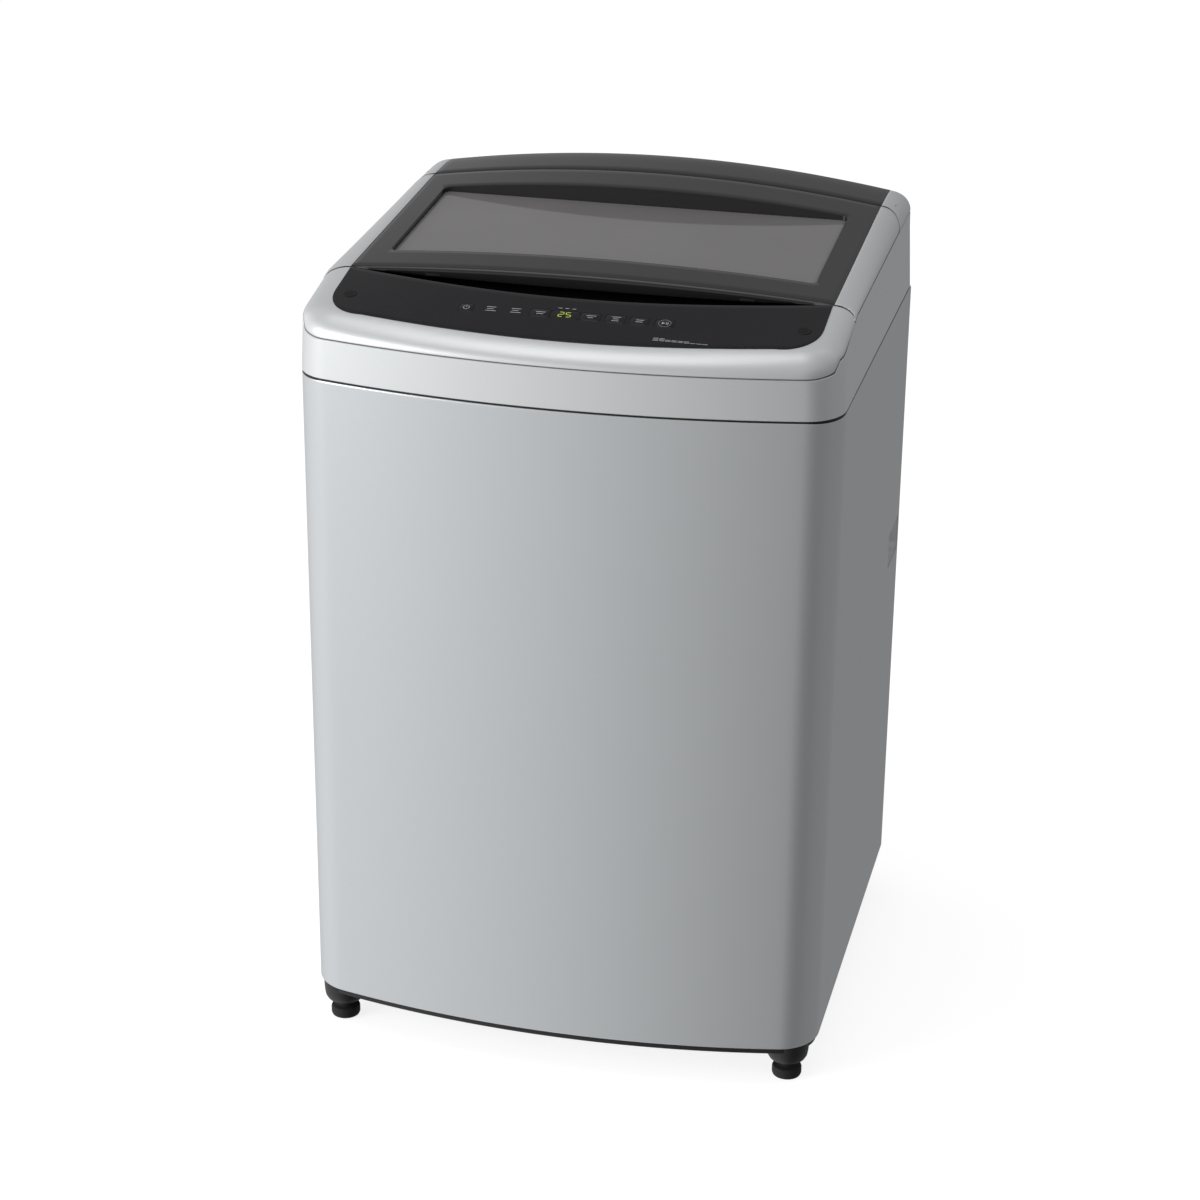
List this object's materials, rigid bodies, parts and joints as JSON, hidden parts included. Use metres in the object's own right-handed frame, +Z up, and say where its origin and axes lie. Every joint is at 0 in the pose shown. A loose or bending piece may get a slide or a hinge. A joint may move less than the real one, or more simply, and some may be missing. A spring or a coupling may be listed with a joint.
{
  "type": "top load washing machine",
  "caption": "Top load washing machine with a bowed steel cabinet, glazed rear-hinged lid, sloped key panel, sprung tub, spin basket and pulsator.",
  "frame": {"origin": "floor level, at the middle of the whole outline in plan", "axes": "+Z up, the control panel and bowed front face -Y, the lid hinge and hose connections are at +Y"},
  "size_m": [0.632, 0.63, 0.993],
  "materials": {
    "cabinet_paint": "silver grey metallic paint, satin",
    "back_zinc": "zinc coated steel",
    "silver_moulding": "silver painted moulding, satin",
    "black_base": "black moulding",
    "foot_rubber": "black rubber",
    "panel_black": "gloss black film over the keys",
    "circuit_board": "coated circuit board",
    "lid_black": "gloss dark grey",
    "lid_glass": "smoked glass",
    "zinc_steel": "zinc plated",
    "spring_steel": "spring steel",
    "bright_steel": "ground steel",
    "basket_steel": "polished stainless steel",
    "white_moulding": "white moulding",
    "grey_moulding": "light grey moulding",
    "housing_alloy": "cast alloy",
    "rotor_steel": "pressed steel",
    "stator_iron": "laminated iron with copper windings"
  },
  "bodies": {
    "cabinet": {"cabinet_shell": "cabinet_paint", "side_grip_left": "silver_moulding", "side_grip_right": "silver_moulding", "back_cover": "back_zinc", "base_frame": "black_base", "foot_rear_left": "foot_rubber", "foot_rear_right": "foot_rubber", "top_cover": "silver_moulding", "control_housing": "silver_moulding", "control_overlay": "panel_black", "display_window": "panel_black", "control_board": "circuit_board", "rear_panel": "lid_black", "rear_housing": "silver_moulding", "inlet_valve": "white_moulding", "dispenser_housing": "white_moulding", "lid_switch": "white_moulding", "cord_gland": "foot_rubber", "drain_outlet": "grey_moulding", "drain_hose": "grey_moulding", "suspension_rod_front_left": "zinc_steel", "suspension_rod_front_right": "zinc_steel", "suspension_rod_rear_left": "zinc_steel", "suspension_rod_rear_right": "zinc_steel", "suspension_spring_front_left": "spring_steel", "suspension_spring_front_right": "spring_steel", "suspension_spring_rear_left": "spring_steel", "suspension_spring_rear_right": "spring_steel"},
    "front_foot_left": {"foot_front_left": "foot_rubber"},
    "front_foot_right": {"foot_front_right": "foot_rubber"},
    "lid": {"lid_frame": "lid_black", "lid_glass": "lid_glass", "lid_liner": "black_base", "lid_trim_left": "silver_moulding", "lid_trim_right": "silver_moulding", "hinge_pin_left": "bright_steel", "hinge_pin_right": "bright_steel"},
    "drawer": {"detergent_drawer": "grey_moulding"},
    "tub": {"outer_tub": "grey_moulding", "tub_cover": "grey_moulding", "bearing_housing": "housing_alloy", "bearing_upper": "bright_steel", "bearing_lower": "bright_steel", "motor_stator": "stator_iron", "drain_valve": "white_moulding"},
    "basket": {"basket_wall": "basket_steel", "basket_base": "grey_moulding", "balance_ring": "grey_moulding", "spin_shaft": "bright_steel"},
    "agitator": {"pulsator": "grey_moulding", "pulsator_cap": "silver_moulding", "wash_shaft": "bright_steel", "motor_rotor": "rotor_steel"},
    "key_power": {"key_power": "panel_black"},
    "key_course": {"key_course": "panel_black"},
    "key_water_level": {"key_water_level": "panel_black"},
    "key_function": {"key_function": "panel_black"},
    "key_option": {"key_option": "panel_black"},
    "key_start_pause": {"key_start_pause": "panel_black"}
  },
  "joints": [
    {"name": "lid_hinge", "type": "hinge", "parent": "cabinet", "child": "lid", "pos_m": [0, 0.153, 0.955], "axis": [-1, 0, 0], "range_deg": [0, 95]},
    {"name": "drawer_slide", "type": "slide", "parent": "cabinet", "child": "drawer", "axis": [0, -1, 0], "range_m": [0, 0.095]},
    {"name": "tub_suspension", "type": "slide", "parent": "cabinet", "child": "tub", "axis": [0, 0, 1], "range_m": [-0.014, 0.01], "stiffness_N_per_m": 9000, "springref_m": 0.03466, "deforming": ["suspension_spring_front_left", "suspension_spring_front_right", "suspension_spring_rear_left", "suspension_spring_rear_right", "drain_hose"]},
    {"name": "basket_spin", "type": "hinge", "parent": "tub", "child": "basket", "pos_m": [0, -0.021, 0.5], "axis": [0, 0, 1], "continuous": true},
    {"name": "pulsator_spin", "type": "hinge", "parent": "tub", "child": "agitator", "pos_m": [0, -0.021, 0.38], "axis": [0, 0, 1], "continuous": true},
    {"name": "front_foot_left_height", "type": "slide", "parent": "cabinet", "child": "front_foot_left", "axis": [0, 0, -1], "range_m": [0, 0.01]},
    {"name": "front_foot_right_height", "type": "slide", "parent": "cabinet", "child": "front_foot_right", "axis": [0, 0, -1], "range_m": [0, 0.01]},
    {"name": "key_power_press", "type": "slide", "parent": "cabinet", "child": "key_power", "axis": [0, 0.1933, -0.9811], "range_m": [0, 0.001], "stiffness_N_per_m": 900, "springref_m": -0.0015},
    {"name": "key_course_press", "type": "slide", "parent": "cabinet", "child": "key_course", "axis": [0, 0.1933, -0.9811], "range_m": [0, 0.001], "stiffness_N_per_m": 900, "springref_m": -0.0015},
    {"name": "key_water_level_press", "type": "slide", "parent": "cabinet", "child": "key_water_level", "axis": [0, 0.1933, -0.9811], "range_m": [0, 0.001], "stiffness_N_per_m": 900, "springref_m": -0.0015},
    {"name": "key_function_press", "type": "slide", "parent": "cabinet", "child": "key_function", "axis": [0, 0.1933, -0.9811], "range_m": [0, 0.001], "stiffness_N_per_m": 900, "springref_m": -0.0015},
    {"name": "key_option_press", "type": "slide", "parent": "cabinet", "child": "key_option", "axis": [0, 0.1933, -0.9811], "range_m": [0, 0.001], "stiffness_N_per_m": 900, "springref_m": -0.0015},
    {"name": "key_start_pause_press", "type": "slide", "parent": "cabinet", "child": "key_start_pause", "axis": [0, 0.1933, -0.9811], "range_m": [0, 0.001], "stiffness_N_per_m": 900, "springref_m": -0.0015}
  ]
}
